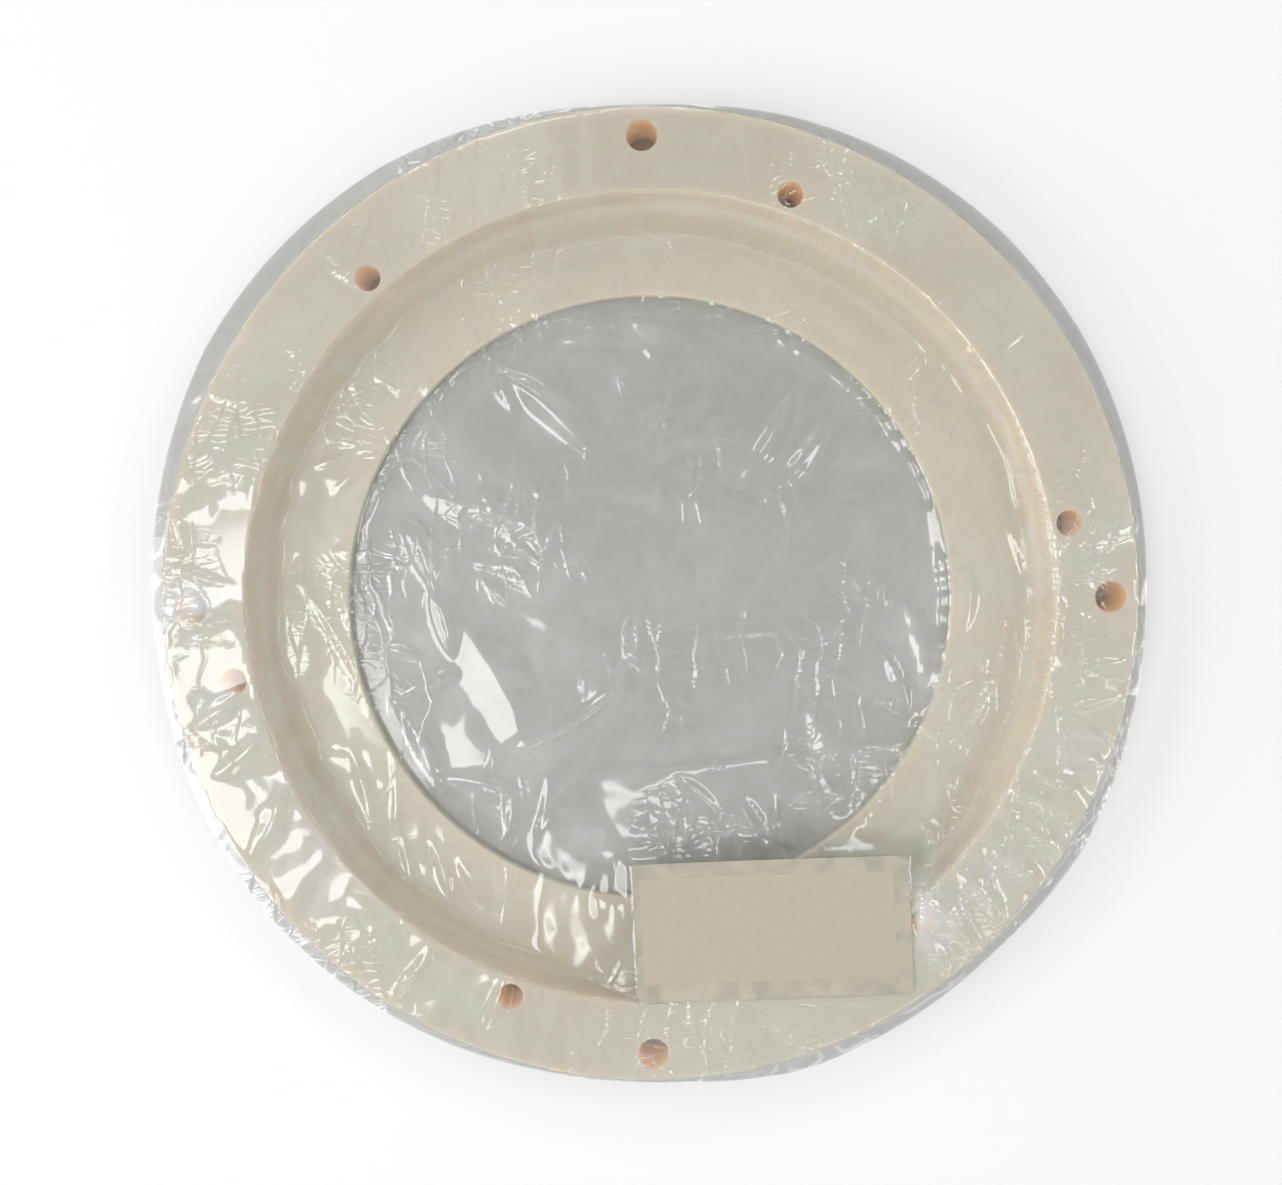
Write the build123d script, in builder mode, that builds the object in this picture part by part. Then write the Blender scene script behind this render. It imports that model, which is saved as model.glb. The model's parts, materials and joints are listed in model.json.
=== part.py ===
"""Ring flange with an open centre, wrapped in a clear film bag with a blank label.

The ring is one moulding: a thick outer band with two circles of bolt holes, and a thin
ledge inside it that ends at the open bore. The bag is a back film under the ring and a
front film over it, and the label is stuck to the front film.

Sizes are in millimetres. The ring lies flat with its axis on +Z, +Y passes through one
of the four large holes, and the origin is on the axis at the underside of the bag.
"""

import os
from math import cos, radians, sin

from build123d import *

# Ring: the bore, the two steps outwards from it, and the heights
BORE_DIAMETER = 225.0
LEDGE_WIDTH = 33.5
BAND_WIDTH = 29.0
RING_THICKNESS = 22.0
LEDGE_THICKNESS = 4.5
COVE_RADIUS = 4.0
RIM_RADIUS = 1.0
EDGE_BREAK = 0.4

# Large holes, set in from the rim
LARGE_HOLE_DIAMETER = 11.0
LARGE_HOLE_COUNT = 4
LARGE_HOLE_SET_IN = 10.0

# Small holes, set out from the recess, turned clockwise from the large hole on +Y
SMALL_HOLE_DIAMETER = 9.0
SMALL_HOLE_COUNT = 6
SMALL_HOLE_SET_OUT = 6.5
SMALL_HOLE_TURN = 20.0

# Bag
FILM_THICKNESS = 0.3
TOP_CLEARANCE = 0.3
SIDE_CLEARANCE = 1.0
SEAM_CLEARANCE = 0.1
SEAM_WIDTH = 6.7

# Label, placed by its lower right corner
LABEL_LENGTH = 100.0
LABEL_HEIGHT = 50.0
LABEL_THICKNESS = 0.2
LABEL_CORNER_RADIUS = 2.0
LABEL_SET_IN = 4.0
LABEL_CORNER_ANGLE = -56.5
LABEL_TURN = 2.0

bore_radius = BORE_DIAMETER / 2
recess_radius = bore_radius + LEDGE_WIDTH
ring_radius = recess_radius + BAND_WIDTH
large_circle_radius = ring_radius - LARGE_HOLE_SET_IN
small_circle_radius = recess_radius + SMALL_HOLE_SET_OUT

ring_base = FILM_THICKNESS
ledge_top = ring_base + LEDGE_THICKNESS
ring_top = ring_base + RING_THICKNESS

seam_base = FILM_THICKNESS + SEAM_CLEARANCE
front_film_base = ring_top + TOP_CLEARANCE
front_film_top = front_film_base + FILM_THICKNESS
skirt_inner_radius = ring_radius + SIDE_CLEARANCE
skirt_outer_radius = skirt_inner_radius + FILM_THICKNESS
film_radius = skirt_outer_radius + SEAM_WIDTH


def circles_at(part, radius, height):
    """Round edges of the part with this radius that lie at this height."""
    rings = part.edges().filter_by(GeomType.CIRCLE).filter_by_position(Axis.Z, height - 0.01, height + 0.01)
    return rings.filter_by(lambda edge: abs(edge.radius - radius) < 0.01)


# The ring, in one piece
with BuildPart() as flange_ring:
    with BuildSketch(Plane.XY.offset(ring_base)):
        Circle(ring_radius)
        Circle(bore_radius, mode=Mode.SUBTRACT)
    extrude(amount=RING_THICKNESS)

    with BuildSketch(Plane.XY.offset(ledge_top)):
        Circle(recess_radius)
    extrude(amount=ring_top - ledge_top, mode=Mode.SUBTRACT)

    # A cove where the recess wall meets the ledge, and rounded outer rims
    fillet(circles_at(flange_ring.part, recess_radius, ledge_top), radius=COVE_RADIUS)
    fillet(circles_at(flange_ring.part, ring_radius, ring_top), radius=RIM_RADIUS)
    fillet(circles_at(flange_ring.part, ring_radius, ring_base), radius=RIM_RADIUS)

    with BuildSketch(Plane.XY.offset(ring_base)):
        with PolarLocations(large_circle_radius, LARGE_HOLE_COUNT, start_angle=90):
            Circle(LARGE_HOLE_DIAMETER / 2)
        with PolarLocations(small_circle_radius, SMALL_HOLE_COUNT, start_angle=90 - SMALL_HOLE_TURN):
            Circle(SMALL_HOLE_DIAMETER / 2)
    extrude(amount=RING_THICKNESS, mode=Mode.SUBTRACT)

    # Broken edges at the recess, the bore and the mouths of the holes
    sharp_edges = circles_at(flange_ring.part, recess_radius, ring_top)
    sharp_edges += circles_at(flange_ring.part, bore_radius, ledge_top)
    sharp_edges += circles_at(flange_ring.part, bore_radius, ring_base)
    for height in (ring_base, ring_top):
        sharp_edges += circles_at(flange_ring.part, LARGE_HOLE_DIAMETER / 2, height)
        sharp_edges += circles_at(flange_ring.part, SMALL_HOLE_DIAMETER / 2, height)
    chamfer(sharp_edges, length=EDGE_BREAK)
flange_ring.part.label = "flange_ring"

# The back film, flat under the ring and out to the seam
with BuildPart() as bag_back_film:
    with BuildSketch():
        Circle(film_radius)
    extrude(amount=FILM_THICKNESS)
bag_back_film.part.label = "bag_back_film"

# The front film, over the ring, down its side and out to the seam
with BuildPart() as bag_front_film:
    with BuildSketch(Plane.XY.offset(seam_base)):
        Circle(film_radius)
    extrude(amount=FILM_THICKNESS)
    with BuildSketch(Plane.XY.offset(seam_base)):
        Circle(skirt_outer_radius)
    extrude(amount=front_film_top - seam_base)
    with BuildSketch(Plane.XY.offset(seam_base)):
        Circle(skirt_inner_radius)
    extrude(amount=front_film_base - seam_base, mode=Mode.SUBTRACT)
bag_front_film.part.label = "bag_front_film"

# The label, flat on the front film with one corner near the rim
label_corner_radius = ring_radius - LABEL_SET_IN
label_corner_x = label_corner_radius * cos(radians(LABEL_CORNER_ANGLE))
label_corner_y = label_corner_radius * sin(radians(LABEL_CORNER_ANGLE))
with BuildPart() as label:
    with BuildSketch(Plane.XY.offset(front_film_top)):
        with Locations(Location((label_corner_x, label_corner_y, 0), (0, 0, LABEL_TURN))):
            RectangleRounded(
                LABEL_LENGTH,
                LABEL_HEIGHT,
                LABEL_CORNER_RADIUS,
                align=(Align.MAX, Align.MIN),
            )
    extrude(amount=LABEL_THICKNESS)
label.part.label = "label"

os.makedirs("parts", exist_ok=True)
export_step(flange_ring.part, "parts/flange_ring.step")
export_step(bag_back_film.part, "parts/bag_back_film.step")
export_step(bag_front_film.part, "parts/bag_front_film.step")
export_step(label.part, "parts/label.step")
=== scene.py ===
# %% [markdown]
# # A plastic ring flange in its clear film bag
#
# The object is a moulded ivory ring with two circles of bolt holes, lying in a bag of thin
# clear film, with one blank paper label stuck on the film. The ring is hard and exact, so it
# comes ready made from the CAD model. The film and the label are soft, and are made here.
#
# Every piece is in metres, in the CAD model's own frame: the ring's axis is the Z axis, and
# the table is at Z = 0.

# %% Load the ring and keep the size of the CAD model
import json
import math

import bmesh
import bpy
import numpy as np
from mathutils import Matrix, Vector


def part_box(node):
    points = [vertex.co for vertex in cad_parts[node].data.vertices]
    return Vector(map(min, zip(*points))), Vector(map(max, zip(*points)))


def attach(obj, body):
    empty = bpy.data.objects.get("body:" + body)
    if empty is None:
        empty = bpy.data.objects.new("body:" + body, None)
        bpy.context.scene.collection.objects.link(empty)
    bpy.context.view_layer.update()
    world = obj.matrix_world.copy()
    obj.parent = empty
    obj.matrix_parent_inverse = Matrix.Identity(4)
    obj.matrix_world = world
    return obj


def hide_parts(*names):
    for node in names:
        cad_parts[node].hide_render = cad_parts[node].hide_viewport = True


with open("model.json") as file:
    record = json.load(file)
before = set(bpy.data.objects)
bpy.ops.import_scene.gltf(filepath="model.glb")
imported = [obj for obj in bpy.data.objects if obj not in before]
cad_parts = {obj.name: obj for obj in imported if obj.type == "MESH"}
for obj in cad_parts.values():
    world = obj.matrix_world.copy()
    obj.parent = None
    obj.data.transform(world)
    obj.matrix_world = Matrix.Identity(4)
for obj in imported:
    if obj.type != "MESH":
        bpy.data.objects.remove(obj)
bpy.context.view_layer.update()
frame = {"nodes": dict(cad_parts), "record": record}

MM = 0.001
print("nodes", sorted(frame["nodes"]))

# %% [markdown]
# ## Where everything is
#
# The film has to lie on the ring, so this lesson needs the ring's radii and heights. They
# could be typed in again, but then a change in the CAD model would leave them behind. So they
# are read from the loaded model: the outer radius and the heights from the ring's box, and
# the bore and the recess from the mounts in the model's record.

# %% The ring's radii and heights
ring_low, ring_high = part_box("flange_ring")
label_low, label_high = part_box("label")
mounts = {mount["name"]: mount for mount in frame["record"]["mounts"]}

RIM = ring_high.x
RING_TOP = ring_high.z
BORE = mounts["bore"]["dims"]["r_mm"] * MM
RECESS = mounts["recess"]["dims"]["r_mm"] * MM
BROKEN_EDGE = 0.4 * MM
LEDGE_TOP = mounts["bore"]["pos_m"][2] + mounts["bore"]["dims"]["length_mm"] / 2 * MM + BROKEN_EDGE
print(f"rim {RIM:.4f}, recess {RECESS:.4f}, bore {BORE:.4f}, top {RING_TOP:.4f}, ledge {LEDGE_TOP:.4f}")


# %% [markdown]
# ## Helpers for trees of nodes
#
# The materials and the room's light are small trees of nodes. With these helpers each node
# takes a line or two, because a node is added together with its inputs, and an input is given
# either a fixed value or the output of an earlier node.


# %% Add a node and feed its inputs
def add_node(tree, kind, sockets=None, **settings):
    """Adds a node; each input gets a fixed value or another node's output."""
    node = tree.nodes.new(kind)
    for name, value in settings.items():
        setattr(node, name, value)
    for name, value in (sockets or {}).items():
        if isinstance(value, bpy.types.NodeSocket):
            tree.links.new(value, node.inputs[name])
        else:
            node.inputs[name].default_value = value
    return node


def new_material(name):
    """An empty material and its tree, with the output node ready."""
    material = bpy.data.materials.new(name)
    material.use_nodes = True
    material.node_tree.nodes.clear()
    return material, material.node_tree, add_node(material.node_tree, "ShaderNodeOutputMaterial")


def ramp(tree, source, low, high, low_at, high_at):
    """A colour ramp with two stops, fed by a socket."""
    node = add_node(tree, "ShaderNodeValToRGB", {"Fac": source})
    node.color_ramp.elements[0].position = low_at
    node.color_ramp.elements[0].color = low
    node.color_ramp.elements[1].position = high_at
    node.color_ramp.elements[1].color = high
    return node.outputs["Color"]


def calculate(tree, operation, first, second):
    """One step of arithmetic on two sockets or numbers."""
    return add_node(tree, "ShaderNodeMath", {0: first, 1: second}, operation=operation).outputs["Value"]


def calculate_vector(tree, operation, first, second):
    """The same on two vectors."""
    node = add_node(tree, "ShaderNodeVectorMath", {0: first, 1: second}, operation=operation)
    return node.outputs["Vector"]


def rescale(tree, source, low, high, from_low=0.0, from_high=1.0):
    """Turns from_low..from_high into low..high, and stops at both ends."""
    sockets = {"Value": source, "From Min": from_low, "From Max": from_high, "To Min": low, "To Max": high}
    return add_node(tree, "ShaderNodeMapRange", sockets).outputs["Result"]


def mix_colours(tree, share, first, second):
    """The second colour over the first, as strongly as share says."""
    node = add_node(tree, "ShaderNodeMix", {"Factor": share, 6: first, 7: second}, data_type="RGBA")
    return node.outputs[2]


def mix_shaders(tree, share, first, second):
    """The second shader over the first, as strongly as share says."""
    return add_node(tree, "ShaderNodeMixShader", {"Fac": share, 1: first, 2: second}).outputs["Shader"]


def from_axis(tree, place):
    """How far each place is from the ring's axis."""
    flat_place = calculate_vector(tree, "MULTIPLY", place, (1.0, 1.0, 0.0))
    return add_node(tree, "ShaderNodeVectorMath", {0: flat_place}, operation="LENGTH").outputs["Value"]


def within_limits(tree, limits):
    """1 where every source is between its own two limits, and 0 elsewhere."""
    within = None
    for source, low, high in limits:
        for operation, limit in (("GREATER_THAN", low), ("LESS_THAN", high)):
            test = calculate(tree, operation, source, limit)
            within = test if within is None else calculate(tree, "MULTIPLY", within, test)
    return within


print("node helpers ready")

# %% [markdown]
# ## A bench to work on: camera, floor and light
#
# The part lies on a pale table and is looked at from nearly straight above. Film shows itself
# only by what it mirrors, so the lamps matter more than usual: a single even dome of light
# would make it vanish. One soft box stands high on the left, where the flat film mirrors it
# as a glare, and a tall, slightly warm one stands low on the same side. A third stands on the
# right, with a strip at the back and one at the front, and six more strips in a low ring give
# the creases something to catch all round. The room's own light is patchy, so that calm film
# mirrors something too, but the camera sees a plain backdrop behind the part. The colours are
# shown as they are, without a film look.

# %% The camera
CAMERA_HEIGHT = 0.4295
CAMERA_PLACE = (0.0048, 0.0245)
CAMERA_TILT = (-2.78, 0.93, -0.79)

camera_data = bpy.data.cameras.new("camera")
camera_data.lens = 33.7
camera_data.sensor_width = 36.0
camera_data.clip_start = 0.01
camera = bpy.data.objects.new("camera", camera_data)
camera.location = (*CAMERA_PLACE, RING_TOP + CAMERA_HEIGHT)
camera.rotation_euler = [math.radians(degrees) for degrees in CAMERA_TILT]
bpy.context.collection.objects.link(camera)
bpy.context.scene.camera = camera
bpy.context.scene.view_settings.view_transform = "Standard"
bpy.context.scene.cycles.transparent_max_bounces = 32
print("camera at", tuple(round(c, 4) for c in camera.location))

# %% The floor
FLOOR_SIZE = 6.0
floor_form = bmesh.new()
bmesh.ops.create_grid(floor_form, x_segments=1, y_segments=1, size=FLOOR_SIZE / 2)
floor_mesh = bpy.data.meshes.new("floor")
floor_form.to_mesh(floor_mesh)
floor_form.free()
floor = bpy.data.objects.new("floor", floor_mesh)
bpy.context.collection.objects.link(floor)
floor_paint = bpy.data.materials.new("pale floor")
floor_paint.use_nodes = True
floor_shader = floor_paint.node_tree.nodes["Principled BSDF"]
floor_shader.inputs["Base Color"].default_value = (0.93, 0.93, 0.925, 1)
floor_shader.inputs["Roughness"].default_value = 0.9
floor_shader.inputs["Specular IOR Level"].default_value = 0.2
floor_mesh.materials.append(floor_paint)


# %% The lamps
def soft_box(name, place, size, radiance, colour=(1, 1, 1)):
    """A rectangular lamp that looks at the part and is as bright per area as asked."""
    lamp = bpy.data.lights.new(name, "AREA")
    lamp.shape = "RECTANGLE"
    lamp.size, lamp.size_y = size
    lamp.energy = radiance * math.pi * size[0] * size[1]
    lamp.color = colour
    holder = bpy.data.objects.new(name, lamp)
    holder.location = place
    holder.rotation_euler = (-Vector(place)).to_track_quat("-Z", "Y").to_euler()
    bpy.context.collection.objects.link(holder)
    print(name, f"{lamp.energy:.1f} W")


soft_box("glare box", (-0.74, -0.28, 1.50), (0.58, 0.46), 5.6)
soft_box("side box", (-1.50, -0.40, 0.50), (0.50, 1.10), 3.6, (1.0, 0.985, 0.96))
soft_box("right box", (0.98, -0.36, 1.35), (0.55, 0.20), 6.0)
soft_box("back strip", (-0.15, 0.98, 1.40), (0.60, 0.10), 6.0)
soft_box("front strip", (0.38, -0.98, 1.40), (0.50, 0.10), 3.2)

LOW_STRIPS = 6
FIRST_BEARING = 20
STRIP_DISTANCE = 1.30
STRIP_HEIGHT = 0.95
STRIP_SIZE = (0.70, 0.12)
BEHIND, IN_FRONT = 6.4, 4.2
for k in range(LOW_STRIPS):
    bearing = math.radians(FIRST_BEARING + 360 / LOW_STRIPS * k)
    spot = (STRIP_DISTANCE * math.cos(bearing), STRIP_DISTANCE * math.sin(bearing), STRIP_HEIGHT)
    soft_box(f"low strip {k + 1}", spot, STRIP_SIZE, BEHIND if spot[1] > 0 else IN_FRONT)

# %% The room's own light, and the backdrop
world = bpy.data.worlds.new("studio")
world.use_nodes = True
tree = world.node_tree
direction = add_node(tree, "ShaderNodeTexCoord").outputs["Generated"]
room = add_node(tree, "ShaderNodeTexNoise", {"Vector": direction, "Scale": 2.2, "Detail": 2.0})
sky = tree.nodes["Background"]
sky.inputs["Color"].default_value = (0.97, 0.985, 1.0, 1)
tree.links.new(rescale(tree, room.outputs["Fac"], 0.15, 0.90, 0.35, 0.65), sky.inputs["Strength"])

backdrop = add_node(tree, "ShaderNodeBackground", {"Color": (0.86, 0.86, 0.855, 1)})
seen = add_node(tree, "ShaderNodeLightPath").outputs["Is Camera Ray"]
either = mix_shaders(tree, seen, sky.outputs["Background"], backdrop.outputs["Background"])
tree.links.new(either, tree.nodes["World Output"].inputs["Surface"])
bpy.context.scene.world = world
print("room light in", len(tree.nodes), "nodes")

# %% [markdown]
# ## The ring's plastic
#
# Natural ivory plastic isn't one flat colour. It is slightly cloudy, it lets a little light
# into its surface, and its faces carry very fine rings from turning. An image could give
# this, but a node tree fits any size and repeats nowhere. The cloudiness is a slow noise in
# the colour. The turning marks are a noise read by radius alone, which gives rings. The
# recess is painted paler than the band, most of all at its wall, as painted light against its
# shade. The shader's subsurface lets light sink in, but too little reaches the deep holes, so
# their walls get a warmer colour as painted warm light, and a painted glow, more towards the top.

# %% The ivory plastic
IVORY_DARK = (0.565, 0.520, 0.415, 1)
IVORY_PALE = (0.622, 0.585, 0.488, 1)
# the recess colour is painted light that lifts the shade in the recess
RECESS_PAINTED_LIGHT = (0.740, 0.670, 0.530, 1)
HOLE_PAINTED_WARM_LIGHT = (0.60, 0.46, 0.30, 1)
HOLE_PAINTED_GLOW = (0.90, 0.53, 0.24, 1)
FACE_MARGIN = 0.5 * MM

ivory, tree, output = new_material("ivory_plastic")
place = add_node(tree, "ShaderNodeTexCoord").outputs["Object"]
above_table = add_node(tree, "ShaderNodeSeparateXYZ", {"Vector": place}).outputs["Z"]
out_from_axis = from_axis(tree, place)
cloud = add_node(
    tree,
    "ShaderNodeTexNoise",
    {"Vector": place, "Scale": 18.0, "Detail": 4.0, "Roughness": 0.6},
).outputs["Fac"]
tint = ramp(tree, cloud, IVORY_DARK, IVORY_PALE, 0.30, 0.72)

# the recess is painted paler, and its wall the most: painted light against the shade there
toward_wall = rescale(tree, out_from_axis, 0.25, 1.0, RECESS - 8 * MM, RECESS - 1 * MM)
inside_band = calculate(tree, "LESS_THAN", out_from_axis, RECESS + 0.2 * MM)
tint = mix_colours(tree, calculate(tree, "MULTIPLY", toward_wall, inside_band), tint, RECESS_PAINTED_LIGHT)

# inside the band, below its face, there is nothing but the walls of the holes
band_inside = (out_from_axis, RECESS + 1.5 * MM, RIM - 4.0 * MM)
below_face = (above_table, ring_low.z + FACE_MARGIN, RING_TOP - FACE_MARGIN)
hole_wall = within_limits(tree, (band_inside, below_face))
# the hole walls get painted warm light, and below a painted glow that grows towards the top
tint = mix_colours(tree, hole_wall, tint, HOLE_PAINTED_WARM_LIGHT)
glow_height = rescale(tree, above_table, 0.09, 0.24, ring_low.z, RING_TOP)

rings = add_node(
    tree,
    "ShaderNodeTexNoise",
    {"W": out_from_axis, "Scale": 900.0, "Detail": 3.0},
    noise_dimensions="1D",
)
grain = add_node(tree, "ShaderNodeTexNoise", {"Vector": place, "Scale": 1400.0, "Detail": 2.0})
marks = calculate(tree, "ADD", rings.outputs["Fac"], grain.outputs["Fac"])
bump = add_node(tree, "ShaderNodeBump", {"Height": marks, "Strength": 0.12, "Distance": 0.0003})

plastic = add_node(
    tree,
    "ShaderNodeBsdfPrincipled",
    {
        "Base Color": tint,
        "Roughness": rescale(tree, cloud, 0.36, 0.50),
        "IOR": 1.49,
        "Subsurface Weight": 0.6,
        "Subsurface Radius": (1.0, 0.58, 0.28),
        "Subsurface Scale": 0.008,
        # the painted glow of the hole walls
        "Emission Color": HOLE_PAINTED_GLOW,
        "Emission Strength": calculate(tree, "MULTIPLY", hole_wall, glow_height),
        "Normal": bump.outputs["Normal"],
    },
)
tree.links.new(plastic.outputs["BSDF"], output.inputs["Surface"])

ring = frame["nodes"]["flange_ring"]
for slot in ring.material_slots:
    slot.material = ivory
print("ring has", len(ring.data.polygons), "faces and", len(ring.material_slots), "material slot")

# %% [markdown]
# ## Random heights that can be read anywhere
#
# Crumpled film is flat facets with sharp creases between them, over slow swells. Two small
# generators make both. The first lays a net of triangles, gives each corner a random height
# and is flat in between: facets. The second is the same idea on squares with rounded
# blending: swells. Both are seeded, so the film comes out the same each time.


# %% Facets and swells
TABLE_SIZE = 256


def random_table(seed):
    """Random heights from -1 to 1, to be read by two whole numbers."""
    return np.random.RandomState(seed).uniform(-1.0, 1.0, (TABLE_SIZE, TABLE_SIZE))


def four_corners(u, v, seed):
    """The random heights at the four corners of each point's square, and where it is in it."""
    table = random_table(seed)
    i, j = np.floor(u).astype(int), np.floor(v).astype(int)
    here = table[i % TABLE_SIZE, j % TABLE_SIZE]
    right = table[(i + 1) % TABLE_SIZE, j % TABLE_SIZE]
    above = table[i % TABLE_SIZE, (j + 1) % TABLE_SIZE]
    across = table[(i + 1) % TABLE_SIZE, (j + 1) % TABLE_SIZE]
    return here, right, above, across, u - i, v - j


def facets(x, y, spacing, seed):
    """A height between -1 and 1 on a net of triangles this far apart, flat within each."""
    v = y / spacing * 2 / math.sqrt(3)
    u = x / spacing - v / 2
    here, right, above, across, u, v = four_corners(u, v, seed)
    lower_half = here * (1 - u - v) + right * u + above * v
    upper_half = across * (u + v - 1) + above * (1 - u) + right * (1 - v)
    return np.where(u + v < 1, lower_half, upper_half)


def swells(x, y, spacing, seed):
    """A height between -1 and 1 that changes slowly and smoothly."""
    here, right, above, across, u, v = four_corners(x / spacing, y / spacing, seed)
    u, v = u * u * (3 - 2 * u), v * v * (3 - 2 * v)
    near = here * (1 - u) + right * u
    far = above * (1 - u) + across * u
    return near * (1 - v) + far * v


def step(value, start, end):
    """Goes smoothly from 0 at start to 1 at end, which may be either way round."""
    t = np.clip((value - start) / (end - start), 0.0, 1.0)
    return t * t * (3 - 2 * t)


def toward(angle, degrees, spread):
    """1 in one direction from the ring's axis, falling to 0 at spread degrees away from it."""
    away = np.abs((np.degrees(angle) - degrees + 180) % 360 - 180)
    return step(away, spread, 0)


print("facet heights at three points", facets(np.array([0, 5, 9.0]), np.array([0, 2, 7.0]), 10, 1).round(2))

# %% [markdown]
# ## The bag's edge
#
# Both films end at the same edge, scallops about a finger's width outside the rim. The edge
# is a closed line of short straight pulls between a few corners. Each corner here is a
# direction, in degrees from +X, and how far the edge stands outside the rim there.

# %% The corners of the edge
EDGE_CORNERS = [
    (-172, 12.6), (-157, 14.0), (-144, 14.6), (-128, 13.8), (-113, 12.4), (-98, 10.4),
    (-86, 11.0), (-73, 15.0), (-57, 13.6), (-46, 12.8), (-31, 14.4), (-14, 12.0),
    (-1, 11.0), (13, 12.2), (30, 13.4), (46, 13.6), (60, 12.6), (73, 11.0),
    (90, 7.2), (105, 10.8), (121, 14.2), (135, 15.4), (150, 16.2), (165, 14.2),
]


def edge_radius(angle):
    """How far from the axis the film ends in each direction, in metres."""
    directions = [math.radians(corner[0]) for corner in EDGE_CORNERS]
    reach = [RIM + corner[1] * MM for corner in EDGE_CORNERS]
    return np.interp(angle, directions, reach, period=2 * math.pi)


print("the film ends from", edge_radius(np.linspace(-3, 3, 99)).min().round(4), "to",
      edge_radius(np.linspace(-3, 3, 99)).max().round(4), "m from the axis")

# %% [markdown]
# ## A flat disc of film
#
# A film could be spun from its cross section, but spinning crowds the faces at the centre
# and leaves them long at the edge. A square grid that is pressed into a disc keeps them all
# about the same size, which is what fine creases need.


# %% A grid pressed into a disc
def film_disc(name, cells):
    """A new object whose mesh is a disc of radius 1, and the arrays of its points."""
    form = bmesh.new()
    bmesh.ops.create_grid(form, x_segments=cells, y_segments=cells, size=1.0)
    mesh = bpy.data.meshes.new(name)
    form.to_mesh(mesh)
    form.free()
    film = bpy.data.objects.new(name, mesh)
    bpy.context.collection.objects.link(film)
    points = read_points(mesh)
    x, y = points[:, 0].copy(), points[:, 1].copy()
    points[:, 0] = x * np.sqrt(1 - y * y / 2)
    points[:, 1] = y * np.sqrt(1 - x * x / 2)
    return film, points


def read_points(mesh):
    """The mesh's points, as an array of rows."""
    values = np.empty(len(mesh.vertices) * 3)
    mesh.vertices.foreach_get("co", values)
    return values.reshape(-1, 3)


def read_normals(mesh):
    """The direction in which the surface faces at each point, as an array of rows."""
    values = np.empty(len(mesh.vertices) * 3)
    mesh.vertex_normals.foreach_get("vector", values)
    return values.reshape(-1, 3)


def write_points(mesh, points):
    """Moves the mesh's points to these places."""
    mesh.vertices.foreach_set("co", points.astype(np.float32).ravel())
    mesh.update()


FRONT_CELLS = 300
front_film, flat_points = film_disc("front_film_draped", FRONT_CELLS)
flat_radius = np.hypot(flat_points[:, 0], flat_points[:, 1])
flat_angle = np.arctan2(flat_points[:, 1], flat_points[:, 0])
print("the flat film has", len(flat_points), "points")

# %% [markdown]
# ## How the front film drapes
#
# The real film hangs over the ring: flat over the band, down across the recess to the
# ledge, over the bore's edge and down to the table. A cloth simulation is the usual way to
# drape a sheet, but on this part it makes a low dome or a skin of small even ripples, because
# the film is a hundred times thinner than the steps it falls over, and film folds in long crisp
# creases and not in ripples. So the drape is given as a cross section for every direction, of
# which only the feet move in and out, and each point of the flat disc goes as far along it as
# it was from the middle.

# %% The cross section in every direction
FILM_GAP = 0.5 * MM
IN_BORE = 2.2 * MM

slow_wander = swells(flat_angle * 5, flat_angle * 0, 1.0, 3)
quick_wander = swells(flat_angle * 17, flat_angle * 0, 1.0, 4)
wander = slow_wander * 2.0 + quick_wander
hinge_side = toward(flat_angle, 90, 85)
lifted_side = toward(flat_angle, 205, 60)

# where the film meets the ledge, and where it meets the table in the bore
ledge_foot = RECESS + (-5.0 - 7.5 * hinge_side - 3.0 * lifted_side + 0.9 * wander) * MM
bore_foot = BORE + (-4.5 - 8.5 * lifted_side - 1.2 * hinge_side + 0.8 * wander) * MM
skirt_foot = RIM + (3.6 + 0.5 * wander) * MM
film_edge = edge_radius(flat_angle)
one = np.ones_like(flat_angle)

# each row is one bend: how far out from the axis, and how high
section = [
    (0 * one, IN_BORE * one),
    (bore_foot - 6 * MM, IN_BORE * one),
    (bore_foot, IN_BORE + 0.3 * MM * one),
    (BORE - (0.6 * MM) * one, LEDGE_TOP + FILM_GAP * one),
    (BORE + (4.0 * MM) * one, LEDGE_TOP + 1.2 * FILM_GAP * one),
    (ledge_foot - 3 * MM, LEDGE_TOP + 2 * FILM_GAP * one),
    (ledge_foot, LEDGE_TOP + 3 * FILM_GAP * one),
    (RECESS - (2.0 * MM) * one, RING_TOP - (1.5 * MM) * one),
    (RECESS - (0.5 * MM) * one, RING_TOP + FILM_GAP * one),
    (RECESS + (5.0 * MM) * one, RING_TOP + FILM_GAP * one),
    (RIM + (0.2 * MM) * one, RING_TOP + FILM_GAP * one),
    (RIM + (1.2 * MM) * one, RING_TOP - (1.2 * MM) * one),
    (skirt_foot, 2.6 * MM * one),
    (skirt_foot + 1.2 * MM, 1.2 * MM * one),
    (film_edge, 0.9 * MM * one),
]

# %% Lay every point along its own section
lengths = [0 * one]
for (r0, z0), (r1, z1) in zip(section, section[1:]):
    lengths.append(lengths[-1] + np.hypot(r1 - r0, z1 - z0))
travel = flat_radius * lengths[-1]

draped_radius = 0 * one
draped_height = 0 * one
for k in range(len(section) - 1):
    share = (travel - lengths[k]) / np.maximum(lengths[k + 1] - lengths[k], 1e-9)
    here = (share >= 0) & ((share <= 1) | (k == len(section) - 2))
    draped_radius = np.where(here, section[k][0] + share * (section[k + 1][0] - section[k][0]), draped_radius)
    draped_height = np.where(here, section[k][1] + share * (section[k + 1][1] - section[k][1]), draped_height)

# %% [markdown]
# ## Under the label
#
# The label is stiffer than the film. It rests on the band, reaches in over the recess and
# holds the film up beneath it like a small tent. So the label's own surface comes first: it
# is level over the band and sinks gently towards the middle. Under it the film follows it
# exactly, and round it the film slopes away at a fixed pitch until it meets its own drape.

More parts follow.
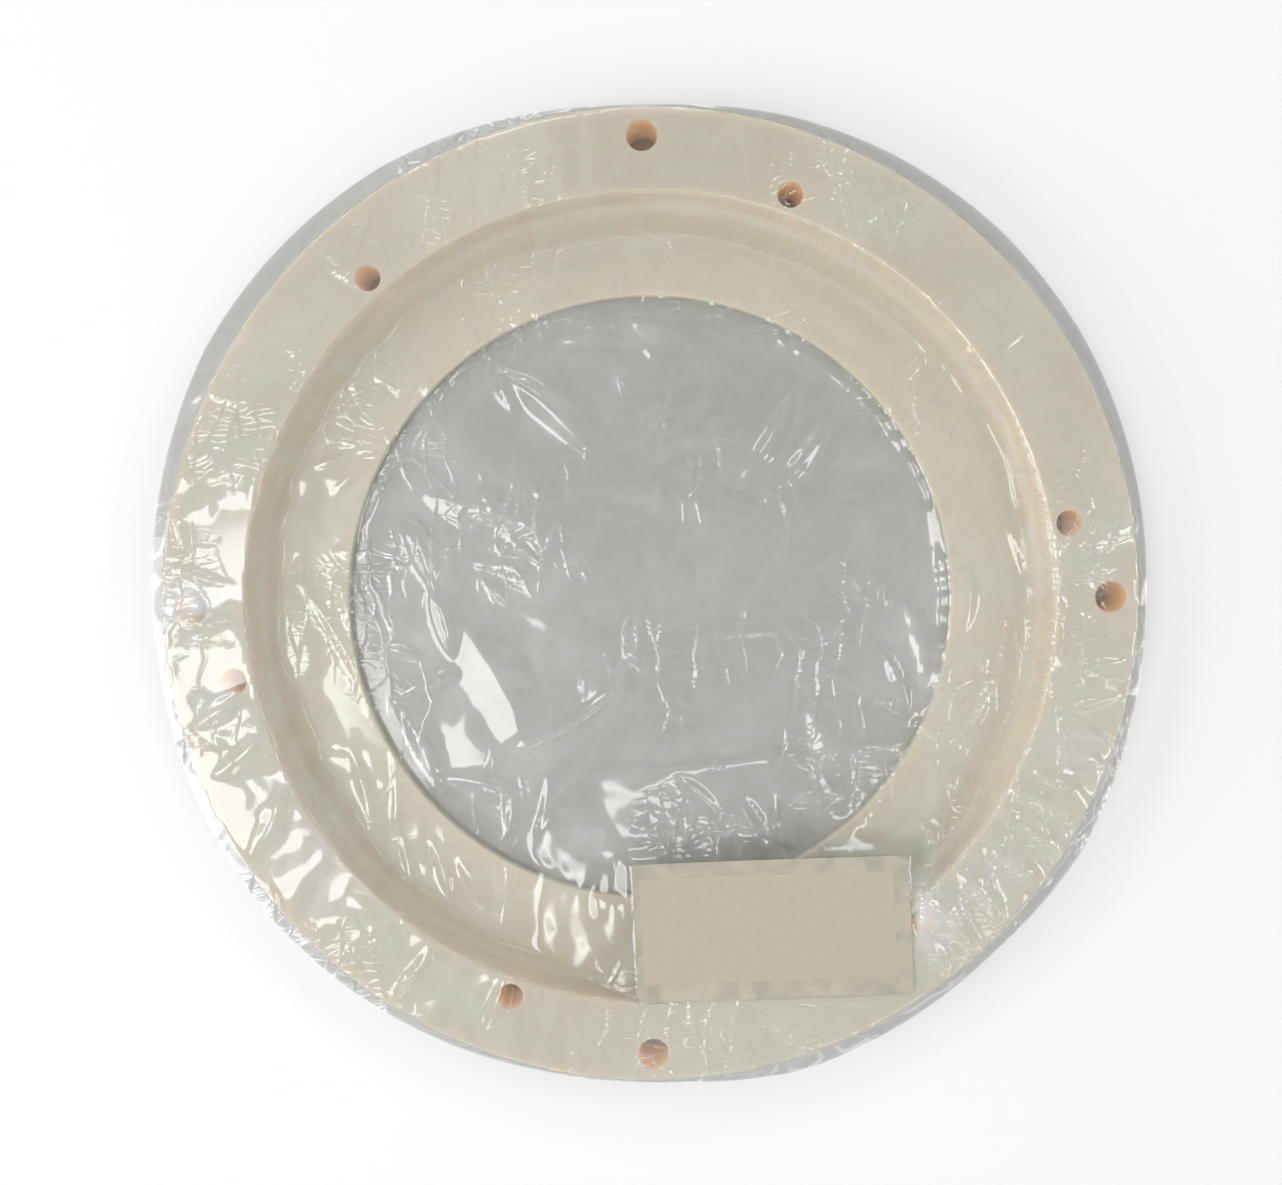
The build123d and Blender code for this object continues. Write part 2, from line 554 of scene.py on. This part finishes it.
# %% The label's surface and the tent round it
LABEL_TURN = math.radians(2.0)
LABEL_SIZE = (100 * MM, 50 * MM)
LABEL_CORNER = 2 * MM
LABEL_RISE = 0.9 * MM
LABEL_SINK = 0.085
SINK_BLEND = 4 * MM
UNDER_LABEL = 0.25 * MM
TENT_PITCH = 0.42
TENT_ROUNDING = 1.0 * MM
TENT_FADES = (45 * MM, 30 * MM)

label_centre = (label_low + label_high) / 2
label_along = Vector((math.cos(LABEL_TURN), math.sin(LABEL_TURN)))
label_up = Vector((-math.sin(LABEL_TURN), math.cos(LABEL_TURN)))


def label_surface(x, y):
    """The height of the label's sheet above the table."""
    inward = (RECESS - np.hypot(x, y)) / SINK_BLEND
    sink = SINK_BLEND * np.log1p(np.exp(np.clip(inward, -30, 30)))
    return RING_TOP + LABEL_RISE - LABEL_SINK * sink


def outside_label(x, y):
    """How far a point is outside the label's edge, 0 within it."""
    dx, dy = x - label_centre.x, y - label_centre.y
    along = np.abs(dx * label_along.x + dy * label_along.y) - LABEL_SIZE[0] / 2
    up = np.abs(dx * label_up.x + dy * label_up.y) - LABEL_SIZE[1] / 2
    return np.hypot(np.maximum(along, 0), np.maximum(up, 0))


def add_tent(x, y, height):
    """Lifts the film onto the label's underside, and down again round it."""
    beyond = outside_label(x, y)
    tent = label_surface(x, y) - UNDER_LABEL - TENT_PITCH * beyond
    lifted = (height + tent + np.sqrt((height - tent) ** 2 + TENT_ROUNDING**2)) / 2
    lifted = height + (lifted - height) * step(beyond, *TENT_FADES)
    return np.where(beyond <= 1.0 * MM, label_surface(x, y) - UNDER_LABEL, lifted)


x = draped_radius * np.cos(flat_angle)
y = draped_radius * np.sin(flat_angle)
past_rim = draped_radius > RIM
draped_height = np.where(past_rim, draped_height, add_tent(x, y, draped_height))
write_points(front_film.data, np.stack([x, y, draped_height], axis=1))

# %% Round off the bends, as film never folds to a knife edge there
form = bmesh.new()
form.from_mesh(front_film.data)
inner_points = [v for v in form.verts if not v.is_boundary]
every_way = {"use_axis_x": True, "use_axis_y": True, "use_axis_z": True}
for _ in range(3):
    bmesh.ops.smooth_vert(form, verts=inner_points, factor=0.5, **every_way)
form.to_mesh(front_film.data)
form.free()
front_film.data.update()
print("film area", round(sum(face.area for face in front_film.data.polygons), 4), "m2")

# %% [markdown]
# ## Creases in the front film
#
# A bag that was packed, squeezed and opened again keeps its creases. On the left the film is
# crumpled into small facets. On the right short pleats run out from the recess to the rim.
# In the bore it is slack, with a few long folds. The heights come from three sources: the
# facets and swells above, each with its own map of where it is strong, a ring of pleats, and
# a list of single folds. A fold is a lens in plan with a sharp crest, and it
# mirrors light along that crest as one thin line.

# %% Where the film is crumpled, and where it is calm
base = read_points(front_film.data)
normals = read_normals(front_film.data)
x, y = base[:, 0] / MM, base[:, 1] / MM
radius_mm = np.hypot(x, y)
angle = np.arctan2(y, x)
rim_mm, recess_mm, bore_mm = RIM / MM, RECESS / MM, BORE / MM

in_bore = step(radius_mm, bore_mm + 1, bore_mm - 6)
over_band = step(radius_mm, recess_mm - 1, recess_mm + 4)
crushed = toward(angle, 200, 75) * step(radius_mm, bore_mm - 10, recess_mm)
creased = 0.30 + 0.9 * crushed + 0.65 * toward(angle, -35, 55) * over_band
creased = creased * (1 - 0.55 * toward(angle, 85, 60))

# a slow shift of the net, so that its creases don't run straight and parallel
shift_x = x + 7 * swells(x, y, 38, 11) + 2.5 * swells(x, y, 13, 12)
shift_y = y + 7 * swells(x, y, 38, 13) + 2.5 * swells(x, y, 13, 14)

height = creased * 0.95 * facets(shift_x, shift_y, 23, 21)
height += creased * 0.70 * facets(shift_y * 1.3, shift_x, 12.5, 22)
height += creased * 0.36 * facets(shift_x, shift_y * 0.8, 6.4, 23)
height += in_bore * 0.8 * swells(shift_x, shift_y, 48, 24)
height += in_bore * 0.9 * facets(shift_x * 0.7 + shift_y * 0.5, shift_y, 34, 25)
height += in_bore * 0.4 * facets(shift_y, shift_x * 1.2, 16, 26)

# %% Pleats from the recess out to the rim
PLEATS_ROUND = 62
pleat_turn = angle + 0.035 * swells(x, y, 30, 31)
pleat_saw = np.abs((pleat_turn / (2 * math.pi) * PLEATS_ROUND) % 1 - 0.5) * 2
pleat_pick = np.clip(swells(np.degrees(angle), 0 * x, 7, 32) + 0.15, 0, 1)
pleats = (0.25 + 1.3 * toward(angle, -30, 60)) * pleat_pick * (1 - pleat_saw) ** 1.2
height += over_band * 1.8 * pleats

# %% Small stars of creases where the film bends over the bore's edge
TUCKS_ROUND = 96
tuck_turn = angle + 0.05 * swells(x, y, 21, 33)
tuck_saw = np.abs((tuck_turn / (2 * math.pi) * TUCKS_ROUND) % 1 - 0.5) * 2
tuck_pick = np.clip(swells(np.degrees(angle), 0 * x + 5, 5, 34), 0, 1)
near_edge = step(np.abs(radius_mm - bore_mm + 1), 11, 0)
height += near_edge * tuck_pick * (1 - tuck_saw)
print(PLEATS_ROUND, "pleats and", TUCKS_ROUND, "tucks round the ring, most of them flattened out")

# %% [markdown]
# The single folds. Each row is one fold: where it starts and ends, in millimetres in the
# plane of the table, half its width at the middle, and its height.

# %% Folds listed one by one
FOLDS_IN_BORE = [
    ((-56, 87), (-18, 52), 6.5, 2.6),
    ((-48, 70), (-57, 92), 4.0, 1.5),
    ((-34, 107), (-8, 97), 3.0, 1.2),
    ((-6, 103), (5, 86), 2.5, 1.1),
    ((22, 101), (40, 92), 2.5, 1.2),
    ((56, 78), (34, 42), 5.0, 1.8),
    ((70, 70), (40, 34), 4.0, 1.3),
    ((59, 15), (83, -4), 3.2, 1.9),
    ((84, 12), (88, -6), 3.0, 1.2),
    ((-2, -17), (86, -16), 2.6, 0.9),
    ((86, -16), (97, -46), 4.0, 1.8),
    ((62, -26), (97, -46), 3.0, 1.5),
    ((95, 2), (104, -34), 5.5, 1.6),
    ((58, -38), (72, -74), 7.0, 1.6),
    ((46, -70), (43, -92), 2.2, 1.5),
    ((33, -72), (45, -94), 2.0, 1.4),
    ((8, -66), (30, -86), 3.4, 1.4),
    ((-4, -24), (-52, -57), 3.0, 1.3),
    ((-10, -18), (0, -26), 3.0, 1.3),
    ((-92, 34), (-80, 4), 6.0, 2.2),
    ((-82, 8), (-74, -22), 5.5, 2.4),
    ((-104, -16), (-84, -22), 2.4, 1.4),
    ((-96, -36), (-70, -26), 4.5, 1.8),
    ((-94, -38), (-80, -72), 6.0, 2.4),
    ((-72, -6), (-44, -62), 13.0, 1.9),
    ((-80, -66), (-48, -74), 4.5, 1.8),
    ((-38, -64), (-44, -90), 1.8, 1.2),
    ((-52, -72), (-56, -92), 1.8, 1.1),
    ((-20, 42), (60, 20), 7.0, 0.8),
    ((-70, 16), (-44, 8), 3.0, 0.9),
    ((-34, 94), (28, 84), 13.0, 1.7),
    ((8, 62), (62, 44), 12.0, 1.3),
    ((-30, -34), (34, -46), 9.0, 1.2),
    ((-84, 40), (-36, 24), 10.0, 1.4),
]
FOLDS_ON_LEDGE = [
    ((-128, 50), (-92, 57), 2.4, 1.3),
    ((-122, 62), (-93, 53), 2.2, 1.3),
    ((-118, 40), (-96, 56), 2.0, 1.0),
    ((-134, 14), (-102, -48), 2.2, 1.3),
    ((-120, 18), (-108, -30), 2.4, 1.0),
    ((-104, -6), (-98, -104), 1.8, 1.0),
    ((-114, -52), (-104, -92), 3.2, 1.4),
    ((-96, -84), (-90, -122), 2.4, 1.3),
    ((-84, -88), (-76, -114), 3.0, 1.6),
    ((-74, -96), (-62, -116), 4.5, 1.5),
    ((98, 112), (110, 84), 2.2, 1.2),
    ((104, 92), (92, 78), 2.2, 1.0),
    ((106, 80), (126, 92), 2.0, 0.9),
    ((118, 14), (116, -16), 4.5, 1.3),
    ((96, -46), (132, -30), 2.6, 1.3),
    ((96, -46), (116, -58), 2.8, 1.4),
    ((126, -34), (113, -57), 2.6, 1.2),
    ((132, 28), (142, 2), 4.0, 1.6),
    ((98, -82), (104, -90), 3.0, 1.2),
    ((60, 108), (78, 92), 2.2, 0.9),
    ((30, 128), (52, 116), 2.2, 0.7),
]
FOLDS_ON_BAND = [
    ((147, -42), (169, -36), 2.6, 1.9),
    ((147, -46), (168, -53), 3.0, 2.1),
    ((142, -54), (164, -61), 4.2, 1.3),
    ((137, -62), (158, -75), 5.2, 1.7),
    ((132, -80), (150, -97), 5.4, 1.8),
    ((122, -90), (142, -106), 5.2, 1.8),
    ((109, -96), (127, -118), 4.8, 1.7),
    ((98, -104), (118, -130), 5.0, 1.8),
    ((93, -118), (108, -138), 4.4, 1.6),
    ((147, 26), (170, 20), 1.8, 0.9),
    ((150, 6), (170, 12), 2.0, 1.0),
    ((150, -22), (171, -22), 3.0, 1.8),
    ((122, 84), (140, 98), 1.8, 0.9),
    ((-52, -132), (-64, -158), 5.0, 2.0),
    ((-92, -116), (-116, -128), 5.0, 1.8),
    ((-80, -124), (-96, -144), 3.4, 1.7),
    ((-146, 8), (-172, 16), 3.0, 1.4),
    ((-150, -6), (-172, -2), 4.0, 1.6),
    ((-144, -26), (-166, -44), 5.0, 1.8),
    ((-140, -46), (-160, -62), 5.0, 2.0),
    ((-132, -64), (-146, -92), 6.0, 2.0),
    ((-118, 86), (-136, 104), 2.0, 0.9),
    ((-96, 112), (-118, 128), 1.8, 0.8),
    ((-52, 140), (-46, 160), 1.8, 0.7),
    ((20, -150), (26, -170), 2.0, 0.9),
]


def fold(start, end, half_width, top):
    """The height that one fold adds: a sharp crest from start to end, and a lens in plan."""
    start, end = Vector(start), Vector(end)
    way = (end - start).normalized()
    length = (end - start).length
    along = ((x - start.x) * way.x + (y - start.y) * way.y) / length
    bow = 0.05 * length * np.sin(np.clip(along, 0, 1) * math.pi)
    across = np.abs((x - start.x) * -way.y + (y - start.y) * way.x - bow)
    lens = np.sin(np.clip(along, 0, 1) * math.pi) ** 0.7
    return top * lens * np.clip(1 - across / (half_width * lens + 0.01), 0, 1)


for rows in (FOLDS_IN_BORE, FOLDS_ON_LEDGE, FOLDS_ON_BAND):
    for start, end, half_width, top in rows:
        height += fold(start, end, half_width, top)
print("folds laid by hand:", len(FOLDS_IN_BORE) + len(FOLDS_ON_LEDGE) + len(FOLDS_ON_BAND))

# %% Press the creases into the film, but not under the label or at the sealed edge
free = step(outside_label(x * MM, y * MM) / MM, 1.5, 8.0)
from_edge = edge_radius(angle) / MM - radius_mm
free = free * (0.15 + 0.85 * step(from_edge, 0.5, 6))
crumpled = base + normals * (height * free * MM)[:, None]
print("creases from", height.min().round(2), "to", height.max().round(2), "mm")

# %% [markdown]
# The creases go up and down alike, so some now reach into the ring or the table. Real film
# can't. The last step holds every point off the ring: above the table and the ledge, above
# the band, and outside the rim.

# %% Keep the film off the ring and the table
CLEAR = 0.30 * MM
COVE = 4 * MM
BACK_FILM_TOP = 0.3 * MM
LOWEST = 0.55 * MM
BORE_LINE = BORE - 1.2 * MM
WALL_LINE = RECESS - 1.0 * MM
BAND_LINE = RECESS + 4 * MM

radius = np.hypot(crumpled[:, 0], crumpled[:, 1])
turn = np.arctan2(crumpled[:, 1], crumpled[:, 0])
level = crumpled[:, 2]

over_table = radius < BORE_LINE
over_ledge = (radius >= BORE_LINE) & (radius < WALL_LINE)
above_band = (radius >= WALL_LINE) & (radius < RIM + 0.6 * MM) & (level > RING_TOP - 2.0 * MM)
cove = np.clip((radius - (RECESS - COVE)) / COVE, 0, 1)
ledge_surface = LEDGE_TOP + COVE * (1 - np.sqrt(1 - cove * cove))
level = np.where(over_table, np.maximum(level, BACK_FILM_TOP + CLEAR), level)
level = np.where(over_ledge, np.maximum(level, ledge_surface + CLEAR), level)
level = np.where(above_band, np.maximum(level, RING_TOP + CLEAR), level)

beside_wall = (radius >= WALL_LINE) & (radius < BAND_LINE) & (level < RING_TOP)
radius = np.where(beside_wall, WALL_LINE, radius)
beside_rim = (radius > BAND_LINE) & (level < RING_TOP)
radius = np.where(beside_rim, np.maximum(radius, RIM + 0.9 * MM), radius)
level = np.maximum(level, LOWEST)
write_points(front_film.data, np.stack([radius * np.cos(turn), radius * np.sin(turn), level], axis=1))
front_film.data.shade_smooth()
print("front film from", level.min().round(4), "to", level.max().round(4), "m high")

# %% [markdown]
# Crushed film goes white where its small creases crowd together. A number on each point of
# the mesh says how white, and the film's material adds it to its milkiness. It is high where
# the map above says crushed, on the right band, and in a few knots of creases. This whiteness
# is partly the crushed film's own and partly painted glare and sheen. Each row is one knot:
# where it is and how far it spreads, in millimetres, and how white it is.

# %% Where the film has gone white, partly painted glare and sheen
WHITE_AND_GLARE_KNOTS = [
    ((-165, 3), 26, 0.80), ((-158, -34), 22, 0.34), ((-140, -66), 26, 0.34),
    ((98, -117), 30, 0.56), ((124, -100), 28, 0.32), ((150, -54), 26, 0.28),
    ((-90, -58), 18, 0.26), ((-58, -26), 26, 0.26), ((-46, -56), 22, 0.22), ((104, -32), 16, 0.20),
    ((-90, -18), 24, 0.34), ((-34, 66), 22, 0.30), ((-84, 14), 22, 0.26), ((68, -58), 20, 0.22),
    ((0, 98), 20, 0.22), ((-20, -88), 22, 0.26), ((84, -34), 16, 0.20),
]
KNOT_SQUASH = 1.3
KNOT_RAGGED = 7

speckle = 0.5 + 0.5 * facets(shift_x, shift_y, 7, 51)
# partly the film's own whiteness, partly painted glare on the left and painted sheen on the right band
white_and_painted_glare = (0.22 * crushed + 0.14 * toward(angle, -35, 50) * over_band) * speckle
for (knot_x, knot_y), size, strength in WHITE_AND_GLARE_KNOTS:
    away = np.hypot(x - knot_x, (y - knot_y) * KNOT_SQUASH) + KNOT_RAGGED * speckle
    white_and_painted_glare = np.maximum(white_and_painted_glare, strength * step(away, size, 0))
white_and_painted_glare = white_and_painted_glare * step(outside_label(x * MM, y * MM) / MM, 0.0, 3.0)
whiteness = front_film.data.attributes.new("white_and_painted_glare", "FLOAT", "POINT")
whiteness.data.foreach_set("value", white_and_painted_glare.astype(np.float32))
print("knots of creases:", len(WHITE_AND_GLARE_KNOTS))

# %% [markdown]
# ## The back film
#
# The bag's other film lies on the table under the ring, and shows in the bore and as a thin
# edge round the rim. It is nearly flat, so it is a disc that follows the same edge, with low
# creases where the ring doesn't press it down.

# %% The back film's disc
BACK_CELLS = 170
BACK_FILM_LOW = 0.15 * MM
back_film, flat_back = film_disc("back_film_laid", BACK_CELLS)
back_angle = np.arctan2(flat_back[:, 1], flat_back[:, 0])
back_radius = np.hypot(flat_back[:, 0], flat_back[:, 1]) * edge_radius(back_angle)
x, y = back_radius * np.cos(back_angle) / MM, back_radius * np.sin(back_angle) / MM
pressed = step(back_radius / MM, bore_mm - 6, bore_mm) * step(back_radius / MM, rim_mm + 4, rim_mm)
ripple = 0.5 * facets(x + 5 * swells(x, y, 40, 41), y, 27, 42) + 0.25 * facets(y, x, 11, 43)
back_level = BACK_FILM_LOW + (1 - pressed) * np.clip(0.10 + ripple, 0, 0.35) * 0.7 * MM
write_points(back_film.data, np.stack([x * MM, y * MM, back_level], axis=1))
back_film.data.shade_smooth()

# %% [markdown]
# ## The film's material
#
# Clear film lets nearly all light through, mirrors a little of it, and is slightly milky.
# Glass is the obvious shader, but on a single sheet it bends light as a solid would, and it
# casts a black shadow. So simple shaders are mixed: a transparent one, a little white scatter
# for the milkiness, and a gloss that grows stronger at a slant. The gloss is a sharp one with
# a softer one in it, so that each glint has a faint halo. The finest creases, finer than the
# mesh can carry, are a bump of long narrow cells, and each is a thin white line as well, partly
# the film's own whitening and partly a painted glint. The front film adds the whiteness of its
# points, partly painted glare and sheen. The back film is greyer, partly as painted shade, and
# paler outside the ring, where it has only the table under it.


# %% A maker of film materials
# how white the crease lines are: partly the film's own whitening, partly painted glints
CREASE_WHITE_AND_GLINT = 0.08
COARSE_CREASES = (75.0, (1.35, 0.45, 0.0), 0.07, 1.0)
FINE_CREASES = (260.0, (0.45, 1.30, 0.0), 0.14, 0.30)
WHITE = (1, 1, 1, 1)


def film_material(name, tint, rim_tint, milk_colour, milk_low, milk_high, crease_strength):
    """Clear, slightly milky film with fine creases; rim_tint is its tint outside the ring."""
    material, tree, output = new_material(name)
    place = add_node(tree, "ShaderNodeTexCoord").outputs["Object"]

    # sharp lines, from the distance to the edge of random cells that are bent and stretched
    bend = add_node(tree, "ShaderNodeTexNoise", {"Vector": place, "Scale": 30.0, "Detail": 3.0})
    shift = calculate_vector(tree, "MULTIPLY", bend.outputs["Color"], (0.02, 0.02, 0.0))
    bent = calculate_vector(tree, "ADD", place, shift)
    lines = []
    for scale, stretch, width, depth in (COARSE_CREASES, FINE_CREASES):
        stretched = calculate_vector(tree, "MULTIPLY", bent, stretch)
        sockets = {"Vector": stretched, "Scale": scale}
        cells = add_node(tree, "ShaderNodeTexVoronoi", sockets, feature="DISTANCE_TO_EDGE")
        lines.append(rescale(tree, cells.outputs["Distance"], depth, 0.0, 0.0, width))

    # they come in patches
    patch = add_node(tree, "ShaderNodeTexNoise", {"Vector": place, "Scale": 22.0, "Detail": 2.0})
    patches = rescale(tree, patch.outputs["Fac"], 0.0, 1.0, 0.48, 0.66)
    creases = calculate(tree, "MULTIPLY", calculate(tree, "ADD", *lines), patches)
    sockets = {"Height": creases, "Strength": crease_strength, "Distance": 0.0004}
    normal = add_node(tree, "ShaderNodeBump", sockets).outputs["Normal"]

    # the milkiness varies slowly, and crushed film and sharp creases are whiter, partly by their own
    # whitening and partly as painted glare, sheen and glints
    milk_noise = add_node(
        tree,
        "ShaderNodeTexNoise",
        {"Vector": place, "Scale": 15.0, "Detail": 6.0, "Roughness": 0.62, "Distortion": 1.2},
    )
    milk = rescale(tree, milk_noise.outputs["Fac"], milk_low, milk_high, 0.46, 0.74)
    white_and_painted_glare = add_node(tree, "ShaderNodeAttribute", attribute_name="white_and_painted_glare")
    sockets = {0: creases, 1: CREASE_WHITE_AND_GLINT, 2: white_and_painted_glare.outputs["Fac"]}
    whiter = add_node(tree, "ShaderNodeMath", sockets, operation="MULTIPLY_ADD").outputs["Value"]
    sockets = {0: milk, 1: whiter}
    all_milk = add_node(tree, "ShaderNodeMath", sockets, operation="ADD", use_clamp=True).outputs["Value"]

    film_tint = (*tint, 1)
    if rim_tint != tint:
        outside = calculate(tree, "GREATER_THAN", from_axis(tree, place), RIM - 5 * MM)
        film_tint = mix_colours(tree, outside, film_tint, (*rim_tint, 1))
    clear = add_node(tree, "ShaderNodeBsdfTransparent", {"Color": film_tint})
    scatter = add_node(tree, "ShaderNodeBsdfDiffuse", {"Color": (*milk_colour, 1)})
    body = mix_shaders(tree, all_milk, clear.outputs["BSDF"], scatter.outputs["BSDF"])

    sharp, soft = (
        add_node(tree, "ShaderNodeBsdfGlossy", {"Color": WHITE, "Roughness": roughness, "Normal": normal})
        for roughness in (0.08, 0.24)
    )
    gloss = mix_shaders(tree, 0.25, sharp.outputs["BSDF"], soft.outputs["BSDF"])
    facing = add_node(tree, "ShaderNodeLayerWeight", {"Blend": 0.5, "Normal": normal}).outputs["Facing"]
    mirror = rescale(tree, calculate(tree, "POWER", facing, 5.0), 0.075, 1.0)
    tree.links.new(mix_shaders(tree, mirror, body, gloss), output.inputs["Surface"])
    return material


FRONT_TINT = (0.995, 0.995, 0.99)
# the back film's grey inside the ring is partly the film's own tint and partly painted shade in the bore and
# the holes
BACK_TINT_WITH_PAINTED_SHADE = (0.69, 0.685, 0.655)
BACK_RIM_TINT = (0.80, 0.80, 0.79)
FRONT_MILK = (0.80, 0.80, 0.78)
# the back film's grey milk darkens it too, partly as painted shade
BACK_MILK_WITH_PAINTED_SHADE = (0.42, 0.42, 0.42)
front_clear = film_material("clear_film_front", FRONT_TINT, FRONT_TINT, FRONT_MILK, 0.015, 0.32, 0.70)
back_clear = film_material("clear_film_back", BACK_TINT_WITH_PAINTED_SHADE, BACK_RIM_TINT, BACK_MILK_WITH_PAINTED_SHADE, 0.04, 0.10, 0.40)
front_film.data.materials.append(front_clear)
back_film.data.materials.append(back_clear)
print("film materials:", front_clear.name, "and", back_clear.name)

# %% [markdown]
# ## The label
#
# A plain paper label with rounded corners, lying on the surface that was worked out above.
# It starts as one face with its four corners rounded by bevel. To follow a curved surface it
# needs points inside it, and cutting it with a row of planes each way gives them.

# %% The label's sheet
LABEL_CUT = 2.5 * MM
LABEL_THICKNESS = 0.12 * MM
form = bmesh.new()
bmesh.ops.create_grid(form, x_segments=1, y_segments=1, size=0.5)
bmesh.ops.scale(form, vec=(*LABEL_SIZE, 1), verts=form.verts)
bmesh.ops.bevel(
    form,
    geom=form.verts,
    affect="VERTICES",
    offset=LABEL_CORNER,
    offset_type="OFFSET",
    segments=6,
    profile=0.5,
    material=-1,
)
for direction, size in (((1, 0, 0), LABEL_SIZE[0]), ((0, 1, 0), LABEL_SIZE[1])):
    for k in range(1, round(size / LABEL_CUT)):
        middle = Vector(direction) * (k * LABEL_CUT - size / 2)
        everything = form.verts[:] + form.edges[:] + form.faces[:]
        bmesh.ops.bisect_plane(form, geom=everything, plane_co=middle, plane_no=direction)
label_flat_area = sum(face.calc_area() for face in form.faces)

uv = form.loops.layers.uv.new("label_uv")
for face in form.faces:
    for corner in face.loops:
        corner[uv].uv = (corner.vert.co.x / MM, corner.vert.co.y / MM)

for v in form.verts:
    flat_spot = v.co.copy()
    v.co.x = label_centre.x + label_along.x * flat_spot.x + label_up.x * flat_spot.y
    v.co.y = label_centre.y + label_along.y * flat_spot.x + label_up.y * flat_spot.y
    v.co.z = float(label_surface(np.array(v.co.x), np.array(v.co.y)))
bmesh.ops.recalc_face_normals(form, faces=form.faces)
if sum(face.normal.z for face in form.faces) < 0:
    bmesh.ops.reverse_faces(form, faces=form.faces)
bmesh.ops.solidify(form, geom=form.faces[:], thickness=LABEL_THICKNESS)
bmesh.ops.recalc_face_normals(form, faces=form.faces)

# solidify makes the rim's faces in no fixed order, so the faces are sorted by place
SORT_WAY = Vector((1.0, 17.0, 301.0))
form.faces.sort(key=lambda face: face.calc_center_bounds().dot(SORT_WAY))
label_mesh = bpy.data.meshes.new("paper_label")
form.to_mesh(label_mesh)
form.free()
label = bpy.data.objects.new("paper_label", label_mesh)
bpy.context.collection.objects.link(label)
label_mesh.shade_smooth()
label_mesh.set_sharp_from_angle(angle=math.radians(40))
print("label area", round(label_flat_area * 1e6), "mm2,", len(label_mesh.polygons), "faces")

# %% [markdown]
# The label's finish is plain coated paper: an even cream field with the faintest fibre, inside
# a border mottled lighter and darker, which is painted sheen and shade of wrinkled film.

# %% The label's paper
FIELD_X = (-47.4, 44.4)
FIELD_Y = (-18.4, 19.6)
CREAM = ((0.496, 0.445, 0.340, 1), (0.513, 0.462, 0.357, 1))
# the border's two colours give a painted sheen and shade of wrinkled film
BORDER_PAINTED_SHEEN_AND_SHADE = ((0.410, 0.378, 0.295, 1), (0.520, 0.478, 0.380, 1))

paper, tree, output = new_material("label_paper")
place = add_node(tree, "ShaderNodeUVMap", uv_map="label_uv").outputs["UV"]
axes = add_node(tree, "ShaderNodeSeparateXYZ", {"Vector": place})
field = within_limits(tree, ((axes.outputs["X"], *FIELD_X), (axes.outputs["Y"], *FIELD_Y)))
fibre = add_node(
    tree,
    "ShaderNodeTexNoise",
    {"Vector": place, "Scale": 0.35, "Detail": 6.0, "Roughness": 0.7},
).outputs["Fac"]
# noise for the border's painted sheen and shade
wrinkle_sheen = add_node(
    tree,
    "ShaderNodeTexNoise",
    {"Vector": place, "Scale": 0.11, "Detail": 5.0, "Distortion": 0.6},
).outputs["Fac"]
cream = ramp(tree, fibre, *CREAM, 0.35, 0.65)
border = ramp(tree, wrinkle_sheen, *BORDER_PAINTED_SHEEN_AND_SHADE, 0.35, 0.65)
bump = add_node(tree, "ShaderNodeBump", {"Height": fibre, "Strength": 0.1, "Distance": 0.0002})
sheet = add_node(
    tree,
    "ShaderNodeBsdfPrincipled",
    {
        "Base Color": mix_colours(tree, field, border, cream),
        "Roughness": 0.55,
        "IOR": 1.45,
        "Normal": bump.outputs["Normal"],
    },
)
tree.links.new(sheet.outputs["BSDF"], output.inputs["Surface"])
label_mesh.materials.append(paper)
print("paper in", len(tree.nodes), "nodes")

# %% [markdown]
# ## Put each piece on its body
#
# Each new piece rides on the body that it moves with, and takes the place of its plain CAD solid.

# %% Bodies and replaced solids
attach(front_film, "front_film")
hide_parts("bag_front_film")

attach(back_film, "ring_on_back_film")
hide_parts("bag_back_film")

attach(label, "front_film")
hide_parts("label")
